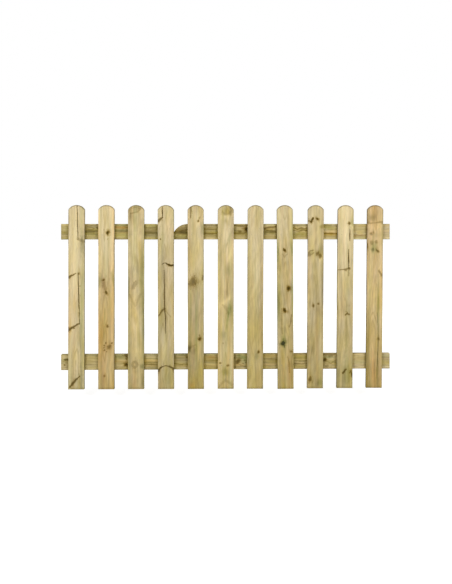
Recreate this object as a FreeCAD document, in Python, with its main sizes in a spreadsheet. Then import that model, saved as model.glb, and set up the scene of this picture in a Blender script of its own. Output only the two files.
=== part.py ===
"""Picket fence panel: round-topped pickets nailed across the front of two horizontal rails.

Millimetres, +Z up, the picketed front facing -Y. The origin is on the rails' rear face, the
face that is fixed to posts, at mid-length and on the lower rail's centre line.
"""
import FreeCAD, Part
import math
import os

import Sketcher
from FreeCAD import Placement, Rotation, Vector

# The driving sizes: alias, millimetres, what it is
SIZES = (
    ("rail_length", 1800.0, "a rail, end to end"),
    ("rail_height", 85.0, "a rail's tall side"),
    ("rail_thickness", 28.0, "a rail, front to back"),
    ("rail_arris", 3.0, "radius along a rail's planed edges"),
    ("rail_overhang", 44.0, "rail end to the side of the first picket"),
    ("picket_length", 1000.0, "foot to the crown of the round top"),
    ("picket_width", 88.0, "a picket, side to side"),
    ("picket_thickness", 20.0, "a picket, front to back"),
    ("picket_arris", 3.0, "radius along a picket's planed edges"),
    ("head_rise", 26.0, "crown of the round top over its shoulders"),
    ("foot_below_rail", 100.0, "picket foot to the lower rail's lower edge"),
    ("head_above_rail", 103.0, "picket crown to the upper rail's upper edge"),
    ("wane_past_picket", 24.0, "dip in the upper rail, right of the fourth picket's even place"),
    ("wane_depth", 47.0, "bottom of the dip under the rail's upper edge"),
    ("wane_root_radius", 20.0, "hollow at the bottom of the dip"),
    ("wane_flank_radius", 84.0, "rounded flanks of the dip"),
)

# The pickets as they are nailed, left to right, in the order of PICKET_FIELDS
PICKETS = (
    (-1.0, -0.10, 0.0),
    (-1.5, -0.04, 0.0),
    (-3.0, -0.02, 0.0),
    (-3.5, 0.08, 0.5),
    (-3.5, 0.08, 1.0),
    (-2.5, -0.04, 1.0),
    (-3.5, -0.20, 1.5),
    (-2.5, 0.27, 3.0),
    (0.5, -0.28, 1.0),
    (1.0, -0.45, 0.5),
    (0.5, -0.50, 0.0),
)
PICKET_FIELDS = (
    ("shift", "millimetres to the right of the even pitch"),
    ("swing", "degrees that the foot swings to the right"),
    ("over", "millimetres that the foot is sawn long"),
)
WANE_PICKET = 4

# An angle about this axis swings a board's foot to the right
SWING_AXIS = Vector(0, -1, 0)
FLAT = 0.01

# How sketches name a curve's points, and their own horizontal and vertical axes
START, END, CENTRE = range(1, 4)
ACROSS, UPRIGHT = range(-1, -3, -1)

doc = FreeCAD.newDocument("picket_fence_panel")
sheet = doc.addObject("Spreadsheet::Sheet", "Sizes")


def own_alias(number, field):
    """The alias of one picket's own value."""
    return "picket_%02d_%s" % (number, field)


def fill_sheet():
    """One row a size: what it is, and its value under its alias."""
    rows = list(SIZES)
    for number, values in enumerate(PICKETS, start=1):
        for (field, note), value in zip(PICKET_FIELDS, values):
            rows.append((own_alias(number, field), value, note))
    for row, (alias, value, note) in enumerate(rows, start=1):
        sheet.set("A%d" % row, note)
        sheet.set("B%d" % row, str(value))
        sheet.setAlias("B%d" % row, alias)
    doc.recompute()


fill_sheet()

# Where things lie along and up the panel, as expressions on the sheet
PITCH = "(Sizes.rail_length - 2 * Sizes.rail_overhang - Sizes.picket_width) / %d" % (len(PICKETS) - 1)
RAIL_SPACING = "Sizes.picket_length - Sizes.foot_below_rail - Sizes.head_above_rail - Sizes.rail_height"
FOOT_LEVEL = "-Sizes.rail_height / 2 - Sizes.foot_below_rail"

# A circle through both shoulders and the crown
HEAD_RADIUS = "((Sizes.picket_width / 2) ^ 2 + Sizes.head_rise ^ 2) / (2 * Sizes.head_rise)"


def from_rail_end(number):
    """Left end of a rail to the even place of a picket's centre line."""
    return "Sizes.rail_overhang + Sizes.picket_width / 2 + %d * %s" % (number - 1, PITCH)


def value_of(expression):
    """What an expression on the sheet comes to, for a sketch's first drawing."""
    return float(sheet.evalExpression(expression))


def front_sketch(body, name):
    """An upright sketch, X to the right and Z up, on the body's rear plane."""
    sketch = body.newObject("Sketcher::SketchObject", name)
    plane = next(item for item in body.Origin.OriginFeatures if item.Role == "XZ_Plane")
    sketch.AttachmentSupport = [(plane, "")]
    sketch.MapMode = "FlatFace"
    return sketch


def line(start, end):
    return Part.LineSegment(Vector(*start, 0), Vector(*end, 0))


def arc(centre, radius, first, last):
    """A counter-clockwise arc between two directions from its centre, in radians."""
    circle = Part.Circle(Vector(*centre, 0), Vector(0, 0, 1), radius)
    return Part.ArcOfCircle(circle, first, last)


def constrain(sketch, *constraints):
    """Add constraints: a kind, what it holds, and for a size its name and expression."""
    for kind, places, *bound in constraints:
        if not bound:
            sketch.addConstraint(Sketcher.Constraint(kind, *places))
            continue
        name, expression = bound
        index = sketch.addConstraint(Sketcher.Constraint(kind, *places, value_of(expression)))
        sketch.renameConstraint(index, name)
        sketch.setExpression("Constraints." + name, expression)


def picket_outline(sketch, length):
    """A board with a square foot and a round top, its foot on the body's origin."""
    half = value_of("Sizes.picket_width") / 2
    radius = value_of(HEAD_RADIUS)
    centre_up = value_of(length) - radius
    shoulder_up = value_of(length + " - Sizes.head_rise")
    shoulder = math.atan2(shoulder_up - centre_up, half)
    foot, right, head, left = sketch.addGeometry([
        line((-half, 0), (half, 0)),
        line((half, 0), (half, shoulder_up)),
        arc((0, centre_up), radius, shoulder, math.pi - shoulder),
        line((-half, shoulder_up), (-half, 0)),
    ])
    constrain(
        sketch,
        ("Coincident", (foot, END, right, START)),
        ("Coincident", (right, END, head, START)),
        ("Coincident", (head, END, left, START)),
        ("Coincident", (left, END, foot, START)),
        ("Vertical", (right,)),
        ("Vertical", (left,)),
        ("PointOnObject", (foot, START, ACROSS)),
        ("Symmetric", (foot, START, foot, END, UPRIGHT)),
        ("PointOnObject", (head, CENTRE, UPRIGHT)),
        ("DistanceX", (foot, START, foot, END), "width", "Sizes.picket_width"),
        ("Radius", (head,), "head_radius", HEAD_RADIUS),
        ("DistanceY", (foot, END, right, END), "shoulder_up", length + " - Sizes.head_rise"),
    )


def straight_outline(sketch):
    """A plain rail, its middle on the body's origin."""
    half = value_of("Sizes.rail_length") / 2
    rise = value_of("Sizes.rail_height") / 2
    lower, right, upper, left = sketch.addGeometry([
        line((-half, -rise), (half, -rise)),
        line((half, -rise), (half, rise)),
        line((half, rise), (-half, rise)),
        line((-half, rise), (-half, -rise)),
    ])
    constrain(
        sketch,
        ("Coincident", (lower, END, right, START)),
        ("Coincident", (right, END, upper, START)),
        ("Coincident", (upper, END, left, START)),
        ("Coincident", (left, END, lower, START)),
        ("Horizontal", (lower,)),
        ("Horizontal", (upper,)),
        ("Vertical", (right,)),
        ("Vertical", (left,)),
        ("Symmetric", (lower, START, upper, START, ACROSS, START)),
        ("DistanceX", (lower, START, lower, END), "length", "Sizes.rail_length"),
        ("DistanceY", (right, START, right, END), "height", "Sizes.rail_height"),
    )


def waney_outline(sketch):
    """A rail whose upper edge dips where the log's outside cut into the board."""
    half = value_of("Sizes.rail_length") / 2
    rise = value_of("Sizes.rail_height") / 2
    root = value_of("Sizes.wane_root_radius")
    flank = value_of("Sizes.wane_flank_radius")
    dip_along = from_rail_end(WANE_PICKET) + " + Sizes.wane_past_picket"
    dip = value_of(dip_along) - half
    root_up = rise - value_of("Sizes.wane_depth") + root
    flank_up = rise - flank
    reach = math.sqrt((root + flank) ** 2 - (root_up - flank_up) ** 2)
    lean = math.atan2(root_up - flank_up, reach)
    lower, right, upper_right, right_flank, hollow, left_flank, upper_left, left = sketch.addGeometry([
        line((-half, -rise), (half, -rise)),
        line((half, -rise), (half, rise)),
        line((half, rise), (dip + reach, rise)),
        arc((dip + reach, flank_up), flank, math.pi / 2, math.pi - lean),
        arc((dip, root_up), root, math.pi + lean, 2 * math.pi - lean),
        arc((dip - reach, flank_up), flank, lean, math.pi / 2),
        line((dip - reach, rise), (-half, rise)),
        line((-half, rise), (-half, -rise)),
    ])
    constrain(
        sketch,
        ("Coincident", (lower, END, right, START)),
        ("Coincident", (right, END, upper_right, START)),
        ("Tangent", (upper_right, END, right_flank, START)),
        ("Tangent", (right_flank, END, hollow, END)),
        ("Tangent", (hollow, START, left_flank, START)),
        ("Tangent", (left_flank, END, upper_left, START)),
        ("Coincident", (upper_left, END, left, START)),
        ("Coincident", (left, END, lower, START)),
        ("Horizontal", (lower,)),
        ("Horizontal", (upper_right,)),
        ("Horizontal", (upper_left,)),
        ("Vertical", (right,)),
        ("Vertical", (left,)),
        ("Symmetric", (lower, START, upper_right, START, ACROSS, START)),
        ("PointOnObject", (upper_left, END, upper_right)),
        ("DistanceX", (lower, START, lower, END), "length", "Sizes.rail_length"),
        ("DistanceY", (right, START, right, END), "height", "Sizes.rail_height"),
        ("Radius", (right_flank,), "right_flank", "Sizes.wane_flank_radius"),
        ("Radius", (left_flank,), "left_flank", "Sizes.wane_flank_radius"),
        ("Radius", (hollow,), "hollow", "Sizes.wane_root_radius"),
        ("DistanceX", (lower, START, hollow, CENTRE), "dip_along", dip_along),
        ("DistanceY", (hollow, CENTRE, right, END), "hollow_down",
         "Sizes.wane_depth - Sizes.wane_root_radius"),
    )


def face_edges(shape, upright):
    """Names of the edges round the front and rear faces: the upright ones, or the others."""
    names = []
    for number, edge in enumerate(shape.Edges, start=1):
        box = edge.BoundBox
        if box.YLength < FLAT and (box.XLength < FLAT) == upright:
            names.append("Edge%d" % number)
    return names


def board(name, draw, thickness, arris, upright, *drawing_sizes):
    """A board sawn to an outline, with the arrises that run along its grain planed round."""
    body = doc.addObject("PartDesign::Body", name)
    body.Label = name
    sketch = front_sketch(body, name + "_outline")
    draw(sketch, *drawing_sizes)
    doc.recompute()
    if not sketch.FullyConstrained:
        raise RuntimeError(name + ": the outline isn't fully constrained")
    sawn = body.newObject("PartDesign::Pad", name + "_sawn")
    sawn.Profile = sketch
    sawn.setExpression("Length", thickness)
    doc.recompute()
    planed = body.newObject("PartDesign::Fillet", name + "_planed")
    planed.Base = (sawn, face_edges(sawn.Shape, upright))
    planed.setExpression("Radius", arris)
    body.Tip = planed
    doc.recompute()
    if not planed.Shape.Volume < sawn.Shape.Volume:
        raise RuntimeError(name + ": the arrises took nothing off")
    return body


def rail(name, draw, height):
    """A rail with its rear face on the plane of the posts."""
    body = board(name, draw, "Sizes.rail_thickness", "Sizes.rail_arris", False)
    body.setExpression("Placement.Base.z", height)
    return body


def picket(number):
    """A picket with its rear face on the front of the rails, turned about its middle."""
    shift, swing, over = ("Sizes." + own_alias(number, field) for field, note in PICKET_FIELDS)
    name = "picket_%02d" % number
    body = board(name, picket_outline, "Sizes.picket_thickness", "Sizes.picket_arris", True,
                 "Sizes.picket_length + " + over)
    turn = swing + " * 1deg"
    even_place = "-Sizes.rail_length / 2 + " + from_rail_end(number)
    body.Placement = Placement(Vector(), Rotation(SWING_AXIS, value_of(swing)))
    body.setExpression("Placement.Rotation.Angle", turn)
    body.setExpression("Placement.Base.x",
                       "%s + %s + sin(%s) * Sizes.picket_length / 2" % (even_place, shift, turn))
    body.setExpression("Placement.Base.y", "-Sizes.rail_thickness")
    body.setExpression("Placement.Base.z", "%s - %s" % (FOOT_LEVEL, over))
    return body


def check(bodies):
    """Nothing in the document failed, and each board is one sound solid."""
    for item in doc.Objects:
        if "Invalid" in item.State or "Error" in item.State:
            raise RuntimeError(item.Name + " failed")
    for body in bodies:
        if body.Shape.isNull() or not body.Shape.isValid() or len(body.Shape.Solids) != 1:
            raise RuntimeError(body.Label + " isn't one sound solid")


boards = [rail("bottom_rail", straight_outline, "0"), rail("top_rail", waney_outline, RAIL_SPACING)]
boards += [picket(number) for number in range(1, len(PICKETS) + 1)]
doc.recompute()
check(boards)

os.makedirs("parts", exist_ok=True)
for made in boards:
    made.Shape.exportStep("parts/%s.step" % made.Label)
    print("%s: %.0f cubic millimetres" % (made.Label, made.Shape.Volume))
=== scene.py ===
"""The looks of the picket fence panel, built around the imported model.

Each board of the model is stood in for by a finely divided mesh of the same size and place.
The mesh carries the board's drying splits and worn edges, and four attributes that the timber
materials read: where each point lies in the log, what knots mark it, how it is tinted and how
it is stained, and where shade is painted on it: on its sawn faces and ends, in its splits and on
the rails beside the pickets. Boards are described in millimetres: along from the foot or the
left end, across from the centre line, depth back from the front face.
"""

from dataclasses import dataclass
from functools import partial
from itertools import product
from math import cos, pi, radians, sin, sqrt, tau

import bpy
import numpy as np
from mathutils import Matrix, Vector


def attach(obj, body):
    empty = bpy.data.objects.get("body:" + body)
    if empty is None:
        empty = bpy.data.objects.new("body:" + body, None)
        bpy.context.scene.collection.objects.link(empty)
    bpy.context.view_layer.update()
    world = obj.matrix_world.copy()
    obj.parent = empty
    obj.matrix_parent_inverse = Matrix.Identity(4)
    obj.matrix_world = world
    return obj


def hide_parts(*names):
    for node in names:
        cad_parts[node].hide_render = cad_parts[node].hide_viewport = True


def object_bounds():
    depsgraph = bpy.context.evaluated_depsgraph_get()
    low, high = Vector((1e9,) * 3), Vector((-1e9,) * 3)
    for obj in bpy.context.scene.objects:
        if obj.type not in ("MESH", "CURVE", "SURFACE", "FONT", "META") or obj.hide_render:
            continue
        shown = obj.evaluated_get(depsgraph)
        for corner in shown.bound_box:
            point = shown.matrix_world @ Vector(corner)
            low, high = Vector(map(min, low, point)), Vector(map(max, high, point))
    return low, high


MM = 0.001

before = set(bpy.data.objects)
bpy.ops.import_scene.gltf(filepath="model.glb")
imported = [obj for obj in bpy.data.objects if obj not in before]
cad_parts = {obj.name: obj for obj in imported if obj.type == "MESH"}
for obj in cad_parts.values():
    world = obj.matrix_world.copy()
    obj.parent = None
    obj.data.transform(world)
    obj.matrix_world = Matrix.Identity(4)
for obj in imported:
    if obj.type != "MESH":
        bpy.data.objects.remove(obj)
cad_low, cad_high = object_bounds()

# The photograph's frame and the camera that fits it
IMAGE_WIDTH, IMAGE_HEIGHT = 452, 584
LONG_SIDE = max(IMAGE_WIDTH, IMAGE_HEIGHT)
SENSOR = 36.0
FOCAL_PIXELS = 660.8
HORIZON_ROW = 215.65
AIM_COLUMN = 239.7
CAMERA_PLACE = Vector((0, -3.648, 0.800))
CAMERA_TURN = radians(-1.17)

# The boards, as the model has them
PICKETS = [f"picket_{number:02d}" for number in range(1, 12)]
RAILS = ["top_rail", "bottom_rail"]
ARRIS = 3.0
HEAD_RISE = 26.0
WANE_ROOT_RADIUS = 20.0
WANE_FLANK_RADIUS = 84.0

# How finely the boards are divided, and how close to an end its points are looked for
ROW_STEP = 3.3
COLUMN_STEP = 2.1
SIDE_STEP = 5.0
ARRIS_STEPS = 4
END_EASE = 0.8
END_WINDOW = 3.0
HEAD_BEND = 90.0
DRAW_REACH = 7
SHARP_ANGLE = radians(40)


@dataclass
class Knot:
    """A branch cut across: its centre and half sizes, and its tilt from the board's length.

    swerve is how far the grain bends round it, and moss how greenish black it has gone.
    """
    along: float
    across: float
    long: float
    wide: float
    dark: float = 1.0
    tilt: float = 0.0
    swerve: float = 1.0
    moss: float = 0.0


@dataclass
class Streak:
    """A branch or a pitch line cut lengthways: a dark line through chosen points. Two lines
    across the rails, beside pickets' edges, are painted shade instead.

    wide is its half width, or a tuple with one for each point.
    """
    points: tuple
    wide: float | tuple
    dark: float = 1.0


@dataclass
class Split:
    """A drying split: a groove through chosen points, which the mesh's own lines follow.

    wide is its half width, stain how dark the wood beside it has gone, and level is for a
    split that runs across the board.
    """
    points: tuple
    wide: float
    deep: float
    stain: float
    level: bool = False


@dataclass
class Patch:
    """A soft-edged area of another tint; a negative dark is lighter."""
    along: float
    across: float
    long: float
    wide: float
    dark: float = 0.0
    tilt: float = 0.0
    green: float = 0.0
    warm: float = 0.0
    soak: float = 0.0
    edge: float = 2.0


def ring_mark(along, across, long, wide, line, dark, steps=12):
    """A dark line round an ellipse, such as a knot's rim; line is its half width."""
    turns = [tau * step / steps for step in range(steps + 1)]
    points = tuple((along + long * cos(turn), across + wide * sin(turn)) for turn in turns)
    return Streak(points, line, dark)


# A knot that the grain runs straight past, and a patch with a firmer edge
dead_knot = partial(Knot, swerve=0)
band = partial(Patch, edge=4)


@dataclass
class Timber:
    """What one board is cut from.

    light is how pale the wood is, and soak how deep the colour of the preservative, at the
    foot and the head, or the left and the right end. pith is the place of the log's middle,
    across and back, drift how far it moves from end to end, and figure the strength of the
    grain's broad bands.
    """
    seed: int
    light: tuple
    soak: tuple
    pith: tuple
    drift: tuple
    warm: float = 0.0
    green: float = 0.0
    figure: float = 1.0


TIMBERS = {
    "picket_01": Timber(11, (1.19, 1.06), (0.35, 0.0), (10, 52), (6, 10)),
    "picket_02": Timber(12, (0.99, 1.27), (0.8, 0.0), (-4, 46), (8, 6), warm=0.55),
    "picket_03": Timber(13, (1.0, 0.98), (0.9, 0.1), (0, 38), (-6, 16), green=0.02),
    "picket_04": Timber(14, (1.03, 1.06), (0.6, 0.0), (-8, 48), (4, 8), green=0.05),
    "picket_05": Timber(15, (0.91, 1.03), (1.25, 0.1), (6, 55), (-8, 6), warm=0.12),
    "picket_06": Timber(16, (1.06, 0.98), (1.0, 0.3), (4, 26), (14, 22)),
    "picket_07": Timber(17, (0.97, 1.0), (1.25, 0.15), (-12, 60), (6, 4), warm=0.08),
    "picket_08": Timber(18, (0.9, 1.03), (1.3, 0.1), (2, 44), (-4, 14), warm=0.08, green=0.05),
    "picket_09": Timber(19, (0.94, 0.96), (1.0, 0.15), (-6, 50), (10, 8)),
    "picket_10": Timber(20, (0.94, 1.16), (0.9, 0.0), (4, 58), (-4, 6)),
    "picket_11": Timber(21, (0.92, 1.0), (1.2, 0.2), (-2, 46), (6, 10), warm=0.7),
    "top_rail": Timber(31, (0.93, 0.93), (0.8, 0.4), (4, -34), (16, 12), green=0.1, figure=1.5),
    "bottom_rail": Timber(32, (1.0, 1.0), (0.8, 0.7), (-6, 90), (6, 20), green=0.05, figure=1.3),
}

# What marks each board: knots and patches by along, across, half length, half width and dark,
# streaks by their points, half width and dark
MARKS = {}
MARKS["picket_01"] = [
    Split(((1020, 2), (957, 5), (903, 5), (858, 8), (810, 9)), wide=1.5, deep=7, stain=0.45),
    Split(((624, 10), (543, 12), (434, 16), (352, 17)), wide=1.6, deep=9, stain=0.6),
    Streak(((816, 12), (800, 39)), 7, 0.28),
    Streak(((610, -42), (614, -31), (629, -2)), (6, 4.5, 1.5), 0.75),
    Knot(629, 13, 5, 4, 0.7),
    Streak(((359, 17), (342, -10), (322, -43)), (2.2, 3.6, 8), 0.75),
    Streak(((71, 19), (50, -4), (34, -16), (12, -34)), (2, 4.5, 5.5, 3), 0.72),
    Patch(40, -12, 22, 13, 0.12, tilt=55),
    band(28, 0, 60, 60, 0.14, green=0.15),
    Patch(470, 0, 210, 60, -0.05),
    Patch(420, 30, 420, 14, 0.16, green=0.55),
    Patch(790, 34, 60, 12, 0.3, green=0.3),
    Patch(340, -36, 200, 9, warm=0.5),
    Patch(800, -12, 260, 18, -0.12),
    Patch(60, 20, 70, 30, 0.1, green=0.3),
]
MARKS["picket_02"] = [
    Knot(851, 7, 12, 8, 0.95, tilt=6, swerve=1.3),
    Knot(594, -14, 7, 6, 0.75, tilt=20, swerve=1.2),
    Knot(525, 0, 9, 6, 0.8, tilt=-15, swerve=1.4),
    Streak(((590, -13), (560, -10), (530, -2)), 8, 0.25),
    Patch(566, -10, 36, 14, 0.08, warm=0.7),
    Patch(579, -38, 45, 14, 0.3, tilt=12, green=0.8),
    Patch(599, 38, 50, 10, 0.3, tilt=-12, green=0.7),
    Knot(343, 7, 6.5, 5, 0.65),
    Knot(231, 17, 12, 7, 0.5, tilt=40, swerve=1.5),
    Patch(228, 14, 34, 24, 0.1, warm=0.2),
    dead_knot(238, -11, 3.2, 2.6, 0.9),
    dead_knot(225, -12, 3.2, 2.6, 0.9),
    dead_knot(213, -8, 3.2, 2.6, 0.8),
    dead_knot(204, 2, 3, 2.6, 0.6),
    dead_knot(252, -2, 3, 2.6, 0.8),
    dead_knot(250, 30, 4, 3, 0.7, tilt=60),
    Knot(72, -9, 4.5, 4.5, 0.45),
    Patch(290, -34, 110, 16, warm=0.5),
    Patch(850, 39, 170, 9, 0.11, warm=0.6),
    Patch(850, -41, 170, 7, 0.08, warm=0.4),
    Patch(900, 0, 230, 90, 0.03, warm=-0.7),
    Patch(568, 0, 80, 60, 0.09),
    Patch(400, 0, 180, 60, 0.05, warm=0.2, soak=0.25),
    Patch(90, -22, 90, 22, warm=0.4),
]
MARKS["picket_03"] = [
    Patch(976, -6, 30, 34, 0.08, warm=0.2, soak=0.3),
    Knot(982, 22, 6, 9, 0.3, tilt=-20, swerve=0.4),
    Streak(((962, -42), (978, -30), (988, -8), (990, 14)), 3, 0.2),
    Streak(((955, -30), (958, -12), (964, 8), (972, 20)), 2.5, 0.25),
    Patch(966, 24, 14, 10, -0.2),
    Patch(936, -30, 20, 12, 0.3, warm=0.2),
    Patch(790, -2, 80, 36, -0.22),
    Knot(562, -8, 20, 9, 0.3, tilt=32, swerve=1.2),
    Streak(((545, -20), (562, -19), (586, -2)), 3, 0.3),
    Patch(560, -40, 60, 9, 0.3, green=0.7),
    Streak(((510, -34), (480, -20), (452, -5)), 4.5, 0.14),
    Streak(((515, 24), (485, 12), (454, 0)), 4.5, 0.14),
    Patch(488, -4, 26, 11, -0.12),
    ring_mark(133, -7, 15, 12, line=6, dark=0.3),
    Patch(98, -6, 14, 12, 0.12, warm=0.2),
    Patch(640, 34, 190, 11, 0.2, green=0.8),
    Patch(330, 40, 160, 6, 0.35, green=0.6),
    Patch(250, -38, 200, 8, 0.15, green=0.4),
    Patch(122, 32, 12, 10, 0.3, green=0.9),
    Patch(45, 36, 40, 8, 0.35, green=0.5),
    Patch(40, -8, 50, 18, 0.06, warm=0.5),
    Patch(320, 0, 120, 28, -0.19),
    Patch(10, 0, 26, 60, 0.08),
]
MARKS["picket_04"] = [
    Split(((992, -19), (960, -18), (932, -17)), wide=1.6, deep=6, stain=0.7),
    Streak(((934, -17), (926, -26), (912, -41)), (3, 5, 5), 0.7),
    Patch(880, 8, 60, 22, -0.06, warm=0.35),
    Split(((648, -9), (560, -8), (437, -7), (406, -4), (300, 0)), wide=1.5, deep=9, stain=0.5),
    Split(((678, -21), (686, -9), (684, 3), (674, 18), (672, 46)),
          wide=1.7, deep=5, stain=0.35, level=True),
    Streak(((682, 4), (674, 17), (672, 44)), (2, 4.8, 3.5), 0.9),
    Streak(((437, -7), (426, -20), (400, -39)), (5, 3.2, 2.6), 0.6),
    Streak(((437, -7), (414, 8), (393, 27)), 2.4, 0.2),
    Split(((98, -46), (119, -27), (127, -2), (123, 22), (110, 46)),
          wide=1.7, deep=4, stain=0.5, level=True),
    Streak(((98, -42), (112, -32), (122, -20)), (7, 5, 3), 0.6),
    Streak(((122, 22), (110, 42)), (3, 5.5), 0.6),
    Knot(816, -29, 3.4, 3, 0.75),
    Patch(861, 41, 40, 6, 0.1, warm=0.8),
    Patch(780, -24, 110, 18, 0.06, green=0.3),
    Patch(215, -8, 60, 14, -0.16),
    Patch(50, 0, 60, 40, 0.06, green=0.35),
    Patch(470, 0, 330, 60, 0.13, soak=0.2),
]
MARKS["picket_05"] = [
    Streak(((996, -25), (960, -27), (930, -27)), (3, 3.5, 2), 0.5),
    Knot(914, 14, 5, 4.5, 0.85, swerve=1.5),
    Streak(((918, 15), (934, 22)), 2.4, 0.3),
    Patch(900, 15, 16, 12, -0.1, warm=0.2),
    Patch(878, 36, 30, 9, 0.28, green=0.8),
    Knot(582, -15, 24, 17, 0.6, tilt=10, swerve=1.1),
    dead_knot(576, -3, 12, 4, 0.7, tilt=-20),
    dead_knot(572, -38, 8, 4, 0.55, tilt=30),
    Streak(((596, -14), (616, -6)), 5, 0.4),
    Streak(((596, 37), (614, 39)), 4, 0.5),
    Knot(272, 21, 8, 7, 0.9, swerve=1.4),
    Streak(((276, 21), (294, 20)), 2.8, 0.4),
    Patch(222, -38, 28, 13, 0.36, tilt=20, green=0.3, soak=0.8),
    Streak(((216, -42), (230, -22), (240, -2)), (7, 5, 3), 0.16),
    Patch(212, -16, 20, 26, 0.18, tilt=40),
    Patch(198, 14, 44, 7, -0.25, warm=0.4),
    Patch(350, 0, 190, 46, 0.12, green=0.3),
    Patch(570, 0, 90, 46, 0.08),
    Patch(20, -24, 15, 11, warm=1),
    Patch(120, 0, 110, 44, 0.08, green=0.1),
]
MARKS["picket_06"] = [
    Patch(978, 10, 24, 20, 0.15, soak=0.9),
    Patch(962, -2, 20, 24, 0.1, soak=0.8),
    Streak(((992, 22), (974, 31), (956, 24)), (3, 4, 7), 0.3),
    Streak(((960, -16), (950, -4), (954, 18)), 5, 0.16),
    Patch(950, 35, 12, 8, -0.25),
    Patch(934, -14, 14, 16, -0.12),
    Patch(912, 4, 20, 11, 0.26, tilt=-35, soak=0.6),
    Patch(850, 30, 70, 8, 0.12, tilt=30, green=0.3),
    Patch(790, 8, 70, 10, 0.14, tilt=30, green=0.3),
    Patch(720, 20, 60, 12, -0.18, tilt=25),
    Patch(648, 14, 34, 14, 0.18, green=0.6),
    Patch(600, -20, 110, 9, -0.1, tilt=-12, warm=0.2),
    Patch(522, 4, 32, 12, 0.2, warm=0.15),
    Patch(480, 3, 58, 12, -0.22, tilt=50),
    Streak(((458, -18), (438, 2), (408, 16)), (3, 7, 5), 0.15),
    Patch(430, 22, 34, 16, 0.16, green=0.8),
    Patch(400, 14, 75, 6, 0.2, tilt=8, green=0.8),
    Patch(390, -22, 60, 12, -0.14),
    Patch(296, -14, 18, 12, 0.12, green=0.4),
    Knot(249, -14, 3.5, 3, 0.35),
    Knot(141, -31, 3.5, 5.5, 0.6),
    Knot(128, 12, 5, 6, 0.6),
    Patch(150, 0, 50, 30, -0.11, warm=0.15),
    Patch(350, 0, 120, 60, 0.1),
    Patch(92, 0, 22, 22, 0.2, soak=0.6, green=0.4),
    Streak(((14, -36), (48, -2), (22, 34)), 6, 0.16),
    Patch(760, 0, 110, 60, -0.1),
    Patch(20, 0, 18, 20, -0.1, warm=0.4),
]
MARKS["picket_07"] = [
    Knot(200, 19, 6, 5, 0.85, tilt=20, swerve=1.2),
    Patch(178, 12, 22, 12, 0.16, green=0.5),
    Patch(420, -36, 380, 8, 0.12, green=0.5),
    Patch(420, 36, 330, 8, 0.1, green=0.4),
    Patch(640, 8, 90, 14, -0.08, tilt=8),
]
MARKS["picket_08"] = [
    Knot(757, -1, 7.5, 5, 1, tilt=-25, swerve=1.4),
    Streak(((735, -14), (722, -4), (735, 12)), 3, 0.2),
    Patch(745, -38, 60, 8, 0.3, green=0.9),
    Patch(765, 38, 30, 8, 0.25, green=0.7),
    Knot(548, 20, 10.5, 8, 1.15, swerve=1.2),
    Patch(546, 24, 32, 18, 0.1, green=0.5),
    Patch(440, -38, 130, 10, 0.26, green=0.9),
    Knot(428, -3, 11, 7, 1.1, tilt=-35, swerve=1.2),
    Knot(250, -12, 12, 10, 0.95, tilt=25, swerve=0.7, moss=1),
    Patch(262, -6, 36, 20, 0.1, green=0.9),
    Streak(((404, 33), (370, 30), (338, 22)), 3, 0.35),
    Streak(((440, -20), (330, -20), (300, -16)), 2.5, 0.2),
    Knot(205, 31, 6, 7, 0.5, swerve=0.5),
    Streak(((176, 12), (140, 20), (90, 22)), (2, 3, 2), 0.3),
    Streak(((196, 38), (150, 34), (110, 37)), 2.5, 0.25),
    Patch(90, 22, 90, 14, warm=0.8),
    Patch(480, 40, 160, 6, 0.2, green=0.7),
]
MARKS["picket_09"] = [
    Streak(((909, -26), (920, -21), (930, -14)), (6.5, 5, 3.5), 0.9),
    Knot(926, 9, 8, 5.5, 0.95, tilt=-40, swerve=0.5),
    Streak(((934, 3), (914, 17)), (3, 2), 0.4),
    Patch(886, 42, 13, 21, 0.2, tilt=-12, green=0.4, soak=1, edge=6),
    Knot(738, 12, 9, 6, 0.6, tilt=30, swerve=1.4),
    Knot(726, 24, 10, 7, 0.6, tilt=-40, swerve=1),
    Patch(762, 26, 26, 12, 0.25, green=0.6),
    Patch(735, 18, 26, 20, 0.14, soak=1),
    Streak(((755, -12), (752, -30), (740, -40), (728, -38)), (2.5, 3, 4, 6), 0.38),
    Streak(((728, -36), (732, -20), (742, -10)), (5, 2.5, 2.5), 0.3),
    Patch(742, -25, 18, 16, 0.1, green=0.6),
    Patch(708, 28, 16, 10, -0.2),
    Patch(560, 40, 130, 8, 0.42, green=0.5),
    Knot(452, -11, 8, 5, 0.75),
    Knot(462, 15, 5, 5, 0.6),
    Patch(430, 18, 30, 14, 0.14, tilt=-20, warm=0.2),
    Knot(48, -28, 10, 7.5, 0.65),
    Patch(30, 22, 22, 26, 0.16, tilt=-20, green=0.8),
    Patch(880, -4, 120, 16, -0.08, warm=0.15),
    Patch(300, 0, 160, 60, 0.07),
]
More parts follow.
